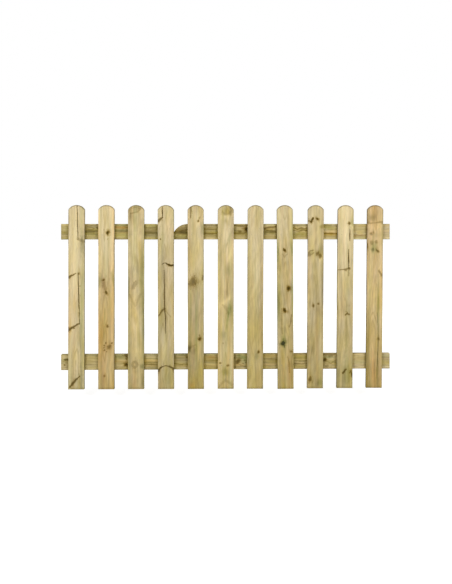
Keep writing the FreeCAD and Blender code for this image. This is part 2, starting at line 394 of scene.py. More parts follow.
MARKS["picket_10"] = [
    Knot(901, 19, 6, 5, 0.75),
    Patch(882, 36, 28, 5, -0.3, tilt=-38),
    Patch(905, 30, 24, 12, 0.1, green=0.4),
    Split(((868, 23), (835, 23), (804, 23)), wide=1.9, deep=7, stain=0.75),
    Split(((758, 17), (700, 18), (655, 18)), wide=1.9, deep=7, stain=0.75),
    Streak(((646, -44), (648, -12), (654, 21)), (1.8, 2.4, 3), 0.6),
    Knot(645, 0, 4, 7, 0.5, tilt=20, swerve=0.5),
    Knot(655, 20, 5.5, 6, 0.75, swerve=0.5),
    Streak(((650, 18), (615, 17)), 2.6, 0.3),
    Patch(933, -39, 50, 8, warm=0.7),
    Patch(920, 36, 70, 10, 0.09, green=0.35),
    Patch(530, 10, 240, 34, 0.08, green=0.25),
    Streak(((401, 4), (409, 12), (404, 22)), (2.8, 4, 3), 0.65),
    Patch(386, -2, 16, 26, -0.1, tilt=50),
    Patch(300, 6, 220, 12, 0.06, green=0.4),
    Streak(((82, -10), (92, -3), (102, 8)), (4.2, 3.2, 3.6), 0.72),
    Streak(((95, 34), (68, 41)), (3.5, 6), 0.7),
    Patch(70, 0, 80, 42, 0.13, green=0.4),
]
MARKS["picket_11"] = [
    Patch(985, 0, 60, 40, 0.12, warm=0.3),
    Patch(930, -18, 20, 22, 0.28, green=0.3),
    Streak(((908, -46), (901, -30), (903, 0), (908, 30), (904, 46)), (10, 4, 2, 4, 8), 0.3),
    Patch(880, -2, 18, 34, -0.14),
    Knot(843, -22, 6, 5, 0.45),
    Knot(852, -9, 6, 3, 0.35),
    Patch(835, 10, 16, 26, 0.1, green=0.3),
    Knot(794, -20, 11, 8, 0.34),
    Knot(800, 5, 7, 6, 0.36),
    dead_knot(778, -42, 16, 4, 0.6),
    Knot(757, -12, 8, 7, 0.4, moss=1),
    Knot(750, 13, 9, 5, 0.6, tilt=-50),
    Patch(768, -4, 34, 22, 0.14, green=1.1),
    Streak(((640, 22), (616, 38)), (4, 6.5), 0.42),
    Split(((414, 15), (350, 19), (268, 23), (180, 19), (120, 17)), wide=0.9, deep=2, stain=0.15),
    Knot(268, 22, 6.5, 5.5, 0.45),
    Patch(420, 20, 130, 6, 0.15, green=0.8),
    Patch(100, 18, 110, 6, 0.22, green=0.7),
    Patch(95, -6, 110, 11, -0.05, warm=1.1, soak=-0.5),
    Patch(520, 0, 260, 60, -0.18),
    Patch(70, 0, 120, 60, 0.09, soak=0.2),
    Patch(200, -38, 200, 8, 0.12, green=0.5),
]
MARKS["top_rail"] = [
    Patch(760, 8, 680, 60, 0.1, soak=0.6, edge=6),
    Patch(780, 2, 420, 21, 0.2, soak=0.15, edge=6),
    band(780, -8, 700, 9, 0.08, soak=0.5),
    Patch(20, 22, 26, 18, -0.2, green=0.3, soak=-0.2),
    Patch(24, -10, 30, 10, 0.2, soak=0.6),
    band(167, 2, 60, 46, 0.18, soak=0.1),
    Streak(((125, 38), (165, 35), (210, 39)), 2.2, 0.4),
    Patch(172, 19, 22, 6, -0.2),
    Streak(((140, 28), (166, 25), (182, 17), (160, 11), (140, 15)), 1.8, 0.35),
    Streak(((208, 28), (192, 22), (208, 13)), 2, 0.4),
    band(167, 3, 70, 8, 0.22),
    band(167, -9, 60, 9, 0.05, soak=0.25),
    band(167, -18, 50, 10, -0.16, tilt=-5, green=0.3),
    band(330, 23, 60, 9, -0.03, warm=1.6),
    Streak(((300, 26), (335, 26), (372, 24)), 1.6, 0.3),
    band(330, 37, 60, 5, 0.2, green=0.7),
    band(330, 6, 60, 8, 0.2, green=0.5),
    band(330, -24, 60, 13, -0.27, green=0.5, soak=-0.2),
    Streak(((296, -36), (375, -36)), 2.6, 0.3),
    Patch(496, 30, 44, 5, -0.12, tilt=6, green=0.4),
    Streak(((456, 25), (485, 22), (530, 27)), 2.2, 0.3),
    band(495, -8, 54, 20, 0.23, warm=0.2),
    band(655, 20, 50, 20, 0.27, warm=0.2, soak=-0.3),
    Streak(((618, 2), (650, 4), (692, 12)), 2.6, 0.35),
    band(655, -8, 50, 11, 0.26, warm=0.3, soak=0.3),
    band(655, -28, 50, 10, 0.11, green=0.3),
    Streak(((622, -36), (690, -36)), 3, 0.3),
    band(820, 31, 44, 11, 0.2),
    Streak(((775, 16), (810, 13), (846, 12)), (4.0, 2.5, 1.5), 0.4),
    band(820, 3, 44, 8, -0.1, warm=0.2, soak=-0.3),
    band(820, -22, 44, 14, 0.12),
    Streak(((780, -9), (820, -9), (860, -8)), 2.4, 0.4),
    Streak(((938, 34), (980, 31), (1022, 35)), 3.2, 0.5),
    Patch(980, 15, 34, 2.5, -0.2),
    Knot(1011, 13, 12, 11, 1),
    Knot(975, 0, 8, 6, 0.45),
    Streak(((938, -7), (975, -10), (1000, -8)), 3, 0.35),
    Streak(((1105, 16), (1130, 24), (1160, 25), (1185, 32)), 3, 0.55),
    Patch(1145, 35, 40, 6, -0.35, green=0.6, soak=-0.9),
    Streak(((1105, 12), (1130, 6), (1160, 3), (1185, 0)), 2.4, 0.45),
    band(1145, 0, 44, 14, 0.18, soak=0.6),
    Patch(1140, 14, 26, 5, -0.12, warm=0.4, soak=0.8),
    # Painted shade: a dark line across the rail beside the edge of the eighth picket
    Streak(((1179, 36), (1180, 0), (1178, -32)), 4.5, 0.6),
    Streak(((1268, 24), (1290, 12), (1310, 20), (1330, 16), (1352, 22)), 2.6, 0.5),
    Streak(((1268, 6), (1300, 2), (1325, 9), (1352, 4)), 2.2, 0.4),
    Patch(1305, 32, 50, 6, 0.08, green=0.5),
    band(1305, -24, 60, 18, green=0.2, soak=1),
    Streak(((1434, -10), (1475, -9), (1515, -11)), 2.8, 0.45),
    Patch(1475, -12, 60, 8, 0.03, warm=0.9, soak=1),
    band(1458, 28, 42, 16, 0.16, tilt=-14, green=0.5, soak=0.8),
    Patch(1490, 8, 30, 8, -0.05, warm=0.2, soak=0.6),
    Patch(1635, -20, 60, 8, 0.02, warm=0.8, soak=0.4),
    Streak(((1600, -18), (1640, -21), (1672, -17)), 1.8, 0.3),
    band(1640, 12, 60, 20, 0.02, warm=0.15, soak=0.6),
    Patch(1640, 34, 60, 9, 0.05, warm=0.3, soak=0.7),
    Patch(1640, -34, 60, 9, -0.24),
    band(1785, 0, 34, 44, -0.05, warm=0.3, soak=-0.6),
    Patch(1785, -10, 34, 10, 0.1, soak=0.7),
    Patch(1785, 34, 34, 9, 0.09),
    Patch(1785, -34, 34, 10, -0.25, soak=-0.8),
    Patch(900, -34, 860, 8, -0.06, warm=0.2, edge=6),
]
MARKS["bottom_rail"] = [
    band(900, 0, 640, 70, 0.17, soak=0.6),
    band(20, 0, 34, 44, -0.16),
    Knot(24, 14, 6, 4, 0.7),
    Knot(38, 14, 7, 6, 0.8),
    Patch(26, 15, 20, 9, 0.06, green=1),
    Knot(19, -14, 5, 4, 0.7),
    Streak(((128, -12), (200, -14)), 1.6, 0.25),
    Patch(165, 26, 50, 14, 0.07, soak=0.4),
    Patch(165, -29, 50, 12, -0.13),
    Knot(356, -12, 10, 8, 0.9),
    Patch(330, -30, 50, 12, 0.14, soak=0.6),
    Streak(((350, 38), (364, 28), (372, 16)), (6, 7, 4), 0.6),
    Patch(315, 30, 34, 12, 0.16, green=0.8),
    Streak(((450, -11), (490, -13), (530, -15)), 2.6, 0.45),
    Streak(((450, -2), (490, -4), (530, -6)), 1.8, 0.25),
    Streak(((450, 20), (530, 18)), 2, 0.2),
    Patch(490, -30, 50, 12, 0.07),
    Patch(490, 24, 50, 18, -0.18, soak=-0.2),
    band(655, 18, 50, 18, 0.16, green=0.2),
    Streak(((618, -8), (650, -13), (692, -12)), 2.2, 0.4),
    Streak(((618, 10), (655, 7), (692, 9)), 1.8, 0.25),
    Streak(((618, 26), (655, 24), (692, 26)), 1.8, 0.25),
    Knot(690, 26, 10, 5, 0.5),
    Patch(655, -30, 50, 13, soak=-0.9),
    Patch(820, 26, 26, 9, -0.04, warm=0.9, soak=0.3),
    Streak(((778, 8), (815, 6), (858, 8)), 2, 0.25),
    Patch(820, 2, 44, 12, 0.12, soak=0.5),
    Patch(820, -14, 40, 5, -0.16, soak=0.3),
    Patch(560, 38, 200, 5, 0.15, green=0.5),
    Knot(966, 2, 14, 9, 0.75, tilt=60, swerve=1.5),
    Patch(990, 24, 28, 18, -0.08, green=1, soak=-0.8),
    Patch(1004, -6, 16, 22, -0.08, green=0.9, soak=-0.8),
    Patch(970, 34, 12, 6, 0.25, green=0.8),
    Patch(980, -30, 50, 13, soak=-0.9),
    dead_knot(1000, 8, 4, 3, 0.4),
    dead_knot(1008, -4, 4, 3, 0.4),
    dead_knot(992, -10, 4, 3, 0.4),
    Streak(((960, -10), (985, -20), (1012, -30)), 1.8, 0.3),
    # Painted shade: a dark line across the rail beside the edge of the sixth picket
    Streak(((948, 36), (950, -32)), 3, 0.4),
    band(1145, 4, 60, 16, 0.12, soak=0.3),
    Streak(((1108, 14), (1145, 16), (1185, 12)), 2, 0.35),
    Patch(1145, 26, 60, 9, 0.03, warm=0.4, soak=0.5),
    Patch(1145, 0, 60, 12, 0.07, soak=0.4),
    Streak(((1275, 4), (1310, 1), (1346, 4)), 2, 0.35),
    Streak(((1275, -10), (1310, -13), (1346, -10)), 2, 0.35),
    Patch(1310, 24, 44, 14, 0.04, soak=0.7),
    Patch(1310, -28, 44, 12, soak=0.4),
    Knot(1442, 8, 9, 8, 0.9, swerve=1.2),
    Streak(((1438, 40), (1470, 34), (1492, 38)), (8, 8, 4), 0.38),
    Patch(1462, 22, 26, 8, 0.06, green=0.8),
    Knot(1452, -28, 12, 7, 0.35),
    Patch(1475, 28, 50, 12, -0.04, soak=-0.7),
    Streak(((1456, 0), (1474, -12), (1508, 10)), 2, 0.25),
    Patch(1484, 2, 22, 12, -0.12, tilt=40),
    band(1640, 0, 60, 50, -0.11, soak=-0.2),
    Patch(1780, 28, 24, 8, -0.1, green=0.6),
]

# How dark the sawn faces and the ends are, partly the sawn wood's own colour and partly painted
# shade for the light that the sides, the rails' top and bottom faces and the ends miss: low side,
# high side, low end, high end
PICKET_SAWN_AND_SHADE_DARK = (0.7, 0.7, 0.25, 0.66)
RAIL_SAWN_AND_SHADE_DARK = {"top_rail": (0.3, 0.45, 0.1, 0.1), "bottom_rail": (0.3, 0.6, 0.1, 0.1)}
# How much browner the sawn colour and its painted shade make the wood
SAWN_AND_SHADE_SOAK = 1.2

# How far from a face's edge, the foot and the head that dark starts, and where it is full
FACE_FADE = (0.9, 0.2)
FOOT_FADE = (16.0, 2.0)
HEAD_FADE = (6.0, 2.0)

# Painted shade on a rail beside each picket, where the picket's shadow falls: how dark, how much
# browner, and how far it reaches
BESIDE_PAINTED_SHADE = 0.08
BESIDE_SHADE_SOAK = 0.6
BESIDE_SHADE_REACH = 9.0


def node_points(name):
    """A node's vertices in millimetres, and the low and high corners of their box."""
    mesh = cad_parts[name].data
    points = np.empty(3 * len(mesh.vertices), np.float32)
    mesh.vertices.foreach_get("co", points)
    points = points.reshape(-1, 3).astype(float) / MM
    return points, points.min(0), points.max(0)


def middle(values):
    return (values.min() + values.max()) / 2


class Board:
    """A board's size, and the place of its own axes in the frame."""

    def __init__(self, name, start, along, across, length, width, thickness):
        self.name = name
        self.start = np.array(start)
        self.axes = np.array([along, across, (0.0, 1.0, 0.0)])
        self.length = length
        self.width = width
        self.thickness = thickness
        self.timber = TIMBERS[name]
        self.marks = MARKS[name]
        self.rng = np.random.default_rng(self.timber.seed)

    def place(self, local):
        """Local millimetres to metres in the frame."""
        return (self.start + local @ self.axes) * MM

    @property
    def mirrored(self):
        """Whether the axes turn a face inside out."""
        return np.linalg.det(self.axes) < 0


def picket_board(name):
    """Reads a picket's foot, shoulders and lean from its node."""
    points, low, high = node_points(name)

    def around(level):
        """The points near a level, and their middle on the front face."""
        near = points[abs(points[:, 2] - level) < END_WINDOW]
        return near, np.array((middle(near[:, 0]), low[1], middle(near[:, 2])))

    feet, foot = around(low[2])
    shoulder = around(high[2] - HEAD_RISE)[1]
    along = (shoulder - foot) / np.linalg.norm(shoulder - foot)
    across = np.array((along[2], 0.0, -along[0]))
    width = np.ptp(feet @ across)
    return Board(name, foot, along, across, np.ptp(points @ along), width, high[1] - low[1])


def rail_board(name):
    """Reads a rail's place from its node; its across runs upwards."""
    points, low, high = node_points(name)
    size = high - low
    start = np.array((low[0], low[1], (low[2] + high[2]) / 2))
    return Board(name, start, (1.0, 0.0, 0.0), (0.0, 0.0, 1.0), size[0], size[2], size[1])


def wane_profile(name):
    """How far the rail's waney dip lies below its top edge, as a function of along."""
    points, low, high = node_points(name)
    upper = points[points[:, 2] > low[2] + 2 * ARRIS]
    deepest = upper[upper[:, 2].argmin()]
    depth = high[2] - deepest[2]
    centre = deepest[0] - low[0]
    turn = np.arccos(1 - depth / (WANE_ROOT_RADIUS + WANE_FLANK_RADIUS))
    reach = (WANE_ROOT_RADIUS + WANE_FLANK_RADIUS) * sin(turn)
    root_reach = WANE_ROOT_RADIUS * sin(turn)

    def rise(radius, away):
        """How high a circle stands over its centre, away from its crown."""
        return np.sqrt(np.maximum(radius ** 2 - away ** 2, 0))

    def dip(along):
        away = np.minimum(abs(along - centre), reach)
        root = depth - WANE_ROOT_RADIUS + rise(WANE_ROOT_RADIUS, away)
        flank = WANE_FLANK_RADIUS - rise(WANE_FLANK_RADIUS, reach - away)
        return np.where(away < root_reach, root, flank)

    return dip


class Waves:
    """Smooth noise of about unit size: a sum of plane waves with chances fixed by the seed."""
    COUNT = 14

    def __init__(self, rng, *lengths):
        self.turns = rng.normal(size=(self.COUNT, 3)) * tau / (2 * np.array(lengths))
        self.starts = rng.uniform(0, tau, self.COUNT)

    def __call__(self, local):
        total = np.zeros(local.shape[:-1])
        for turn, start in zip(self.turns, self.starts):
            total += np.cos(local @ turn + start)
        return total * sqrt(2 / self.COUNT)


def smooth_step(low, high, value):
    share = np.clip((value - low) / (high - low), 0, 1)
    return share * share * (3 - 2 * share)


class Section:
    """The rounded outline of a board's cross-section, as one closed loop of points.

    The loop starts at the front's low corner and goes up the front, back over the high
    side, down the rear and forward under the low side.
    """

    def __init__(self, board):
        wide, deep = board.width / 2, board.thickness / 2
        spread, rise, lean = self.edge(wide, COLUMN_STEP)
        side_spread, side_rise, side_lean = (part[1:-1] for part in self.edge(deep, SIDE_STEP))
        facing, side_facing = np.sqrt(1 - lean ** 2), np.sqrt(1 - side_lean ** 2)
        self.columns = len(spread) - 1
        self.depths = len(side_spread) + 1
        self.across = np.concatenate((spread, wide - side_rise, spread[::-1], side_rise - wide))
        self.depth = np.concatenate(
            (rise, deep + side_spread, 2 * deep - rise[::-1], deep - side_spread))
        self.normal_across = np.concatenate((lean, side_facing, lean[::-1], -side_facing))
        self.normal_depth = np.concatenate((-facing, side_lean, facing[::-1], -side_lean))
        self.size = len(self.across)

    @staticmethod
    def edge(full, step):
        """One edge from corner to corner: offset along it, set back from it, and lean."""
        corner = np.linspace(pi / 4, pi / 2, ARRIS_STEPS // 2 + 1)
        flat = full - ARRIS
        level = np.linspace(-flat, flat, round(2 * flat / step) + 1)[1:-1]
        out, back = np.cos(corner), ARRIS - ARRIS * np.sin(corner)
        even = np.zeros_like(level)
        spread = np.concatenate((-flat - ARRIS * out, level, (flat + ARRIS * out)[::-1]))
        set_back = np.concatenate((back, even, back[::-1]))
        return spread, set_back, np.concatenate((-out, even, out[::-1]))


def drawn_to(lines, place, half_width):
    """Moves the lines near a split so that one of them follows it, and two its edges.

    lines are sorted places; place is where the split lies on each of the crossing lines.
    Returns the new places, one row for each crossing line, and the following line's index.
    """
    nearest = int(abs(lines - place.mean()).argmin())
    nearest = min(max(nearest, DRAW_REACH), len(lines) - 1 - DRAW_REACH)
    fixed = lines[[nearest - DRAW_REACH, nearest - 1, nearest, nearest + 1, nearest + DRAW_REACH]]
    near = slice(nearest - DRAW_REACH, nearest + DRAW_REACH + 1)
    moved = np.tile(lines, (len(place), 1))
    for row, value in enumerate(place):
        targets = (fixed[0], value - half_width, value, value + half_width, fixed[-1])
        moved[row, near] = np.interp(lines[near], fixed, targets)
    return moved, nearest


def presence(value, low, high, fade):
    """1 between low and high, falling to 0 within fade outside them."""
    return smooth_step(low - fade, low, value) * (1 - smooth_step(high, high + fade, value))


class Lattice:
    """The rows of section points that make a board's skin, in its local millimetres."""
    SPLIT_FADE = 14.0

    # How far a split wanders to both sides, and over what length it turns one radian
    WANDER, WANDER_STEP = 0.35, 9.0

    # The wear: its lengths along, across and back, then its depth, its even share and its cap
    FACE_WEAR = (160, 26, 30), (0.22, 1.0, 2.4)
    EDGE_WEAR = (34, 60, 60), (0.45, 0.6, 2.2)

    def __init__(self, board, dip=None):
        self.board = board
        self.section = Section(board)
        count = round(board.length / ROW_STEP)
        inner = np.linspace(END_EASE, board.length - END_EASE, count)
        self.rows = np.concatenate(([0.0], inner, [board.length]))
        shape = (len(self.rows), self.section.size)
        self.along = np.repeat(self.rows[:, None], shape[1], axis=1)
        self.across = np.tile(self.section.across, (shape[0], 1))
        self.depth = np.tile(self.section.depth, (shape[0], 1))
        self.split = np.zeros(shape)
        self.from_low_end = self.along.copy()
        for mark in board.marks:
            if isinstance(mark, Split):
                self.cut(mark)
        if dip is None:
            self.round_head()
        else:
            self.sink_wane(dip)
        self.ease_ends()
        self.wear()

    def cut(self, split):
        """Cuts a split's groove into the front."""
        front = slice(self.section.columns + 1)
        along, across = np.array(split.points, float).T
        rows, columns = self.rows, self.across[0, front].copy()
        grids = [grid[:, front] for grid in (self.across, self.depth, self.split)]
        if split.level:
            along, across = across, along
            rows, columns = columns, rows
            grids = [grid[:, front].T for grid in (self.along, self.depth, self.split)]
        order = along.argsort()
        place = np.interp(rows, along[order], across[order])
        place += np.sin(rows / self.WANDER_STEP + self.board.timber.seed) * self.WANDER
        moved, follower = drawn_to(columns, place, split.wide)
        low, high = along.min(), along.max()
        ends = np.clip(np.minimum(rows - low, high - rows) / self.SPLIT_FADE, 0, 1)
        # These are views, so what is added to them is added to the lattice
        moving, depth, marked = grids
        moving += presence(rows, low, high, self.SPLIT_FADE)[:, None] * (moved - columns)
        depth[:, follower] += split.deep * np.sqrt(ends)
        # The groove's bottom line, where the material paints shade
        marked[:, follower] = np.maximum(marked[:, follower], ends > 0)

    def round_head(self):
        """Bends the top rows down to the round head, as the picket's node has it."""
        half = self.board.width / 2
        radius = (half ** 2 + HEAD_RISE ** 2) / (2 * HEAD_RISE)
        across = np.clip(self.across, -half, half)
        fall = radius - np.sqrt(radius ** 2 - across ** 2)
        share = smooth_step(self.board.length - HEAD_BEND, self.board.length, self.along)
        self.along -= fall * share

    def sink_wane(self, dip):
        """Lowers the top edge to the waney dip, and the front and rear in proportion."""
        flat = self.board.width / 2 - ARRIS
        share = np.clip((self.across + flat) / (2 * flat), 0, 1)
        self.across -= dip(self.along) * share

    def ease_ends(self):
        """Takes the sharp edge off both ends."""
        for row in (0, -1):
            self.across[row] -= self.section.normal_across * END_EASE
            self.depth[row] -= self.section.normal_depth * END_EASE

    def wear(self):
        """Sinks the surface a little by smooth noise, and the arrises more where they wore."""
        local = self.local()
        face, edge = [
            deep * (even + Waves(self.board.rng, *lengths)(local)).clip(0, cap)
            for lengths, (deep, even, cap) in (self.FACE_WEAR, self.EDGE_WEAR)]
        corner = 2 * abs(self.section.normal_across * self.section.normal_depth)
        sunk = face + corner * edge
        self.across -= self.section.normal_across * sunk
        self.depth -= self.section.normal_depth * sunk

    def local(self):
        return np.stack((self.along, self.across, self.depth), axis=-1)


def coons(low, high, left, right):
    """The points inside four edges: low and high run across, left and right run deep."""
    u = np.linspace(0, 1, len(low))[:, None, None]
    v = np.linspace(0, 1, len(left))[None, :, None]
    ruled = (1 - v) * low[:, None] + v * high[:, None] + (1 - u) * left[None] + u * right[None]
    corners = (1 - u) * (1 - v) * low[0] + u * (1 - v) * low[-1]
    corners = corners + (1 - u) * v * high[0] + u * v * high[-1]
    return ruled - corners


def quads(index, following):
    """Faces between the lines of an index grid and those of the grid that follows it."""
    return np.stack((index[:-1], following[:-1], following[1:], index[1:]), -1).reshape(-1, 4)


def skin(lattice):
    """A lattice's vertices and faces with its end caps', and how many vertices are its own."""
    rows, size = lattice.along.shape
    n, m = lattice.section.columns, lattice.section.depths
    local = lattice.local()
    index = np.arange(rows * size).reshape(rows, size)
    points, faces = [local.reshape(-1, 3)], [quads(index, np.roll(index, -1, axis=1))]
    low, right = np.arange(n + 1), np.arange(n, n + m + 1)
    high, left = np.arange(2 * n + m, n + m - 1, -1), -np.arange(m + 1)
    inside = np.arange(rows * size, rows * size + (n - 1) * (m - 1)).reshape(n - 1, m - 1)
    for row in (0, rows - 1):
        loop, place = index[row], local[row]
        grid = np.empty((n + 1, m + 1), int)
        grid[1:-1, 1:-1] = inside
        grid[:, 0], grid[:, -1] = loop[low], loop[high]
        grid[0], grid[-1] = loop[left], loop[right]
        cap = quads(grid.T[:, :-1], grid.T[:, 1:])
        faces.append(cap if row else cap[:, ::-1])
        patch = coons(place[low], place[high], place[left], place[right])
        points.append(patch[1:-1, 1:-1].reshape(-1, 3))
        inside = inside + inside.size
    faces = np.concatenate(faces)
    if lattice.board.mirrored:
        faces = faces[:, ::-1]
    return np.concatenate(points), faces, rows * size


def turned(along, across, tilt):
    """Offsets turned so that the first runs along an axis tilted towards +across."""
    angle = radians(tilt)
    return (along * cos(angle) + across * sin(angle),
            across * cos(angle) - along * sin(angle))


def reach_from(points, widths, along, across):
    """How many half widths each place lies from a line through points."""
    best = np.full(along.shape, np.inf)
    steps = zip(points[:-1], points[1:], widths[:-1], widths[1:])
    for (a0, c0), (a1, c1), wide0, wide1 in steps:
        run_along, run_across = a1 - a0, c1 - c0
        length = run_along ** 2 + run_across ** 2
        share = ((along - a0) * run_along + (across - c0) * run_across) / length
        share = share.clip(0, 1)
        gap = np.hypot(along - a0 - share * run_along, across - c0 - share * run_across)
        best = np.minimum(best, gap / (wide0 + share * (wide1 - wide0)))
    return best


class Figure:
    """What a board's points are like as timber: place in the log, knots and tints."""

    # How far a mark and its moss reach, in its half sizes
    MARK_REACH = 2.5
    MOSS_REACH = 1.6 * MARK_REACH

    # A knot's slant through the board, and where the grain bends round it, in half sizes
    KNOT_LEAN = 0.25
    SWERVE_ALONG = 3.2
    SWERVE_ACROSS = 3.0
    SWERVE_CORE = 0.6

    # Depths between which streaks and patches fade, and the share of a patch that is lost
    STREAK_DEPTH = (4, 12)
    PATCH_DEPTH = (6, 18)
    PATCH_LOSS = 0.6

    # A split's stain against its width, and at its tips
    STAIN_WIDTH = 1.4
    STAIN_TIP = 0.4

    # Smooth noises: how much, and their lengths along, across and back
    ROUGH = (1.0, 22, 9, 12)
    RAGGED = (1.0, 7, 5, 9)
    BEND = (2.5, 480, 300, 300)
    RIPPLE = (0.9, 150, 40, 40)

    # The slow changes of tint across any board, as noises
    STRIPES = (
        ("green", 0.16, 420, 22, 40),
        ("warm", 0.16, 360, 26, 40),
        ("dark", 0.05, 300, 14, 30),
        ("dark", 0.04, 60, 12, 20),
        ("soak", 0.25, 150, 30, 40),
    )

    # How uneven the edges of marks are, by the rough and the ragged noise
    KNOT_EDGE = (0.12, 0.12)
    STREAK_EDGE = (0.15, 0.2)
    PATCH_EDGE = (0.1, 0.0)

    def __init__(self, board, local):
        self.board = board
        self.local = local
        self.along, self.across, self.depth = local.T
        self.rough = self.noise(*self.ROUGH)
        self.ragged = self.noise(*self.RAGGED)
        self.level, self.dark, self.swerve, self.moss = np.zeros((4, len(local)))
        timber, ends = board.timber, (0, board.length)
        self.tints = {
            "green": np.full(len(local), timber.green),
            "warm": np.full(len(local), timber.warm),
            "soak": np.interp(self.along, ends, timber.soak),
            "dark": 1 - np.interp(self.along, ends, timber.light),
        }
        for name, *noise in self.STRIPES:
            self.tints[name] += self.noise(*noise)
        ways = {Knot: self.knot, Streak: self.streak, Split: self.stain_along, Patch: self.patch}
        for mark in board.marks:
            ways[type(mark)](mark)

    def noise(self, amount, *lengths):
        return amount * Waves(self.board.rng, *lengths)(self.local)

    def uneven(self, reach, rough, ragged):
        return reach * (1 + rough * self.rough + ragged * self.ragged)

    def keep_darker(self, reach, depth_share, dark):
        """Takes a mark over where it is darker than what is there."""
        level = (1 - reach / self.MARK_REACH).clip(0, 1) * depth_share
        darker = level * abs(dark) > self.level * abs(self.dark)
        self.level = np.where(darker, level, self.level)
        self.dark = np.where(darker, dark, self.dark)

    def knot(self, knot):
        far_along = self.along - knot.along + self.KNOT_LEAN * self.depth
        far_across = self.across - knot.across
        along, across = turned(far_along, far_across, knot.tilt)
        reach = self.uneven(np.hypot(along / knot.long, across / knot.wide), *self.KNOT_EDGE)
        self.keep_darker(reach, 1, knot.dark)
        mossy = (self.MOSS_REACH - reach) / self.MARK_REACH
        self.moss = np.maximum(self.moss, knot.moss * mossy.clip(0, 1))
        fall = np.exp(-(far_along / (self.SWERVE_ALONG * knot.long)) ** 2
                      - (far_across / (self.SWERVE_ACROSS * knot.wide)) ** 2)
        side = far_across / np.hypot(far_across, self.SWERVE_CORE * knot.wide)
        self.swerve += knot.swerve * knot.wide * side * fall

    def streak(self, streak):
        widths = np.broadcast_to(streak.wide, len(streak.points))
        reach = reach_from(streak.points, widths, self.along, self.across)
        shallow = 1 - smooth_step(*self.STREAK_DEPTH, self.depth)
        self.keep_darker(self.uneven(reach, *self.STREAK_EDGE), shallow, streak.dark)

    def stain_along(self, split):
        """The darker wood on both sides of a split, narrower at its ends."""
        widths = np.full(len(split.points), self.STAIN_WIDTH * split.wide)
        widths[[0, -1]] *= self.STAIN_TIP
        self.streak(Streak(split.points, widths, split.stain))

    def patch(self, patch):
        along, across = turned(self.along - patch.along, self.across - patch.across, patch.tilt)
        reach = self.uneven(np.hypot(along / patch.long, across / patch.wide), *self.PATCH_EDGE)
        share = np.exp(-reach ** patch.edge)
        share *= 1 - self.PATCH_LOSS * smooth_step(*self.PATCH_DEPTH, self.depth)
        for name, tint in self.tints.items():
            tint += getattr(patch, name) * share

    def paint_shade_beside(self, pickets):
        """Paints shade on a rail close to the edges of the pickets that cross it, where their
        shadow falls.
        """
        for picket in pickets:
            height = (self.board.start[2] - picket.start[2]) / picket.axes[0, 2]
            centre = picket.start[0] + height * picket.axes[0, 0] - self.board.start[0]
            gap = abs(self.along - centre) - picket.width / 2
            near = np.exp(-(gap / BESIDE_SHADE_REACH) ** 2) * (self.depth < self.board.thickness / 2)
            # Painted shade: darker and browner where the picket's shadow falls on the rail
            self.tints["dark"] += BESIDE_PAINTED_SHADE * near
            self.tints["soak"] += BESIDE_SHADE_SOAK * near

    def grain(self):
        """Where each point lies in the log: across and deep from the pith, and along it."""
        timber = self.board.timber
        share = self.along / self.board.length - 0.5
        pith_across, pith_deep = (place + drift * share
                                  for place, drift in zip(timber.pith, timber.drift))
        bend, ripple = self.noise(*self.BEND), self.noise(*self.RIPPLE)
        across = self.across - self.swerve - pith_across + bend
        deep = self.depth - pith_deep + bend + ripple
        return across, deep, self.along


def in_scene(name, data):
    """An object for some data, linked to the scene."""
    made = bpy.data.objects.new(name, data)
    bpy.context.scene.collection.objects.link(made)
    return made


def make_mesh(name, points, faces):
    """A mesh object from arrays, with every face smooth apart from at sharp edges."""
    mesh = bpy.data.meshes.new(name)
    mesh.vertices.add(len(points))
    mesh.vertices.foreach_set("co", points.astype(np.float32).ravel())
    mesh.loops.add(faces.size)
    mesh.loops.foreach_set("vertex_index", faces.astype(np.int32).ravel())
    mesh.polygons.add(len(faces))
    starts = np.arange(0, faces.size, faces.shape[1], dtype=np.int32)
    mesh.polygons.foreach_set("loop_start", starts)
    mesh.update(calc_edges=True)
    mesh.validate()
    mesh.polygons.foreach_set("use_smooth", np.ones(len(faces), bool))
    mesh.set_sharp_from_angle(angle=SHARP_ANGLE)
    return in_scene(name, mesh)


def sawn_colour_and_painted_shade(board, lattice, local, skin_count):
    """How much darker each point is on or near a sawn face or end: partly the sawn wood's own
    colour, partly painted shade.
    """
    low_side, high_side, low_end, high_end = RAIL_SAWN_AND_SHADE_DARK.get(board.name, PICKET_SAWN_AND_SHADE_DARK)
    far, near = (board.width / 2 - fade for fade in FACE_FADE)
    side = smooth_step(far, near, abs(local[:, 1]))
    shade = side * np.where(local[:, 1] < 0, low_side, high_side)
    place = local[:, 0].copy()
    place[:skin_count] = lattice.from_low_end.ravel()
    at_low = smooth_step(*FOOT_FADE, place)
    far, near = (board.length - fade for fade in HEAD_FADE)
    at_high = smooth_step(far, near, place)
    caps = place[skin_count:]
    at_low[skin_count:] = caps < board.length / 2
    at_high[skin_count:] = caps >= board.length / 2
    return np.maximum(shade, low_end * at_low + high_end * at_high)


